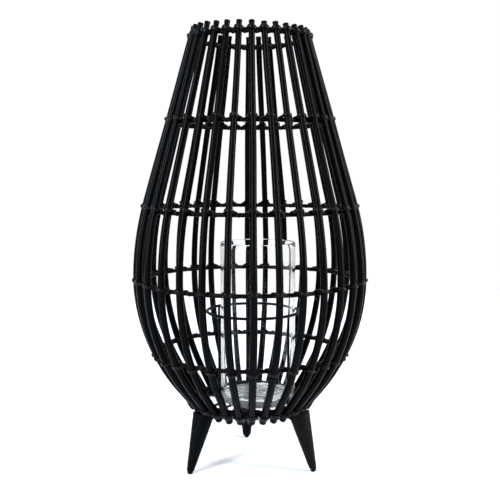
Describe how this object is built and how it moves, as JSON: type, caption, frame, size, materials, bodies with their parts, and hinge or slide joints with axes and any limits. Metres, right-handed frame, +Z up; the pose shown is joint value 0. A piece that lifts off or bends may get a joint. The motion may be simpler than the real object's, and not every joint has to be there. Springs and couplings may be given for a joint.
{
  "type": "rattan lantern",
  "caption": "Tall pear-shaped open cage lantern of bent black rattan poles on lashed hoops, with three wrapped cone feet, an inner wire holder and a lift-out glass cylinder.",
  "frame": {"origin": "on the floor, below the middle of the cage's axis", "axes": "+Z up along the cage's axis, -Y towards the front, +X to the viewer's right"},
  "size_m": [0.3256, 0.3256, 0.6],
  "materials": {
    "pole": "satin black stained rattan with its skin on, faint bluish sheen",
    "hoop": "satin black stained thin rattan",
    "cane": "satin black stained split cane with paler edges",
    "foot_wood": "matt black stained solid wood",
    "foot_cane": "black stained flat cane, wound close, slightly brownish",
    "steel": "plain steel, hidden",
    "wire": "satin black painted wire",
    "glass": "clear polished glass with a thick floor"
  },
  "bodies": {
    "cage": {"pole_01": "pole", "pole_02": "pole", "pole_03": "pole", "pole_04": "pole", "pole_05": "pole", "pole_06": "pole", "pole_07": "pole", "pole_08": "pole", "pole_09": "pole", "pole_10": "pole", "pole_11": "pole", "pole_12": "pole", "pole_13": "pole", "pole_14": "pole", "pole_15": "pole", "pole_16": "pole", "pole_17": "pole", "pole_18": "pole", "pole_19": "pole", "pole_20": "pole", "pole_21": "pole", "pole_22": "pole", "pole_23": "pole", "pole_24": "pole", "pole_25": "pole", "pole_26": "pole", "pole_27": "pole", "pole_28": "pole", "pole_29": "pole", "pole_30": "pole", "pole_31": "pole", "pole_32": "pole", "hoop_top": "hoop", "hoop_shoulder": "hoop", "hoop_upper": "hoop", "hoop_belly": "hoop", "hoop_lower": "hoop", "hoop_base": "hoop", "lashing_top": "cane", "lashing_shoulder": "cane", "lashing_upper": "cane", "lashing_belly": "cane", "lashing_lower": "cane", "lashing_base": "cane", "foot_core_right": "foot_wood", "foot_core_rear": "foot_wood", "foot_core_left": "foot_wood", "foot_wrap_right": "foot_cane", "foot_wrap_rear": "foot_cane", "foot_wrap_left": "foot_cane", "foot_dowels": "steel", "holder_ring": "wire", "holder_long_wire": "wire", "holder_right_wire": "wire", "holder_left_wire": "wire", "holder_arms": "wire"},
    "glass": {"glass_cylinder": "glass"}
  },
  "joints": [
    {"name": "glass_lift", "type": "slide", "parent": "cage", "child": "glass", "axis": [0, 0, 1], "range_m": [0, 0.53]}
  ]
}
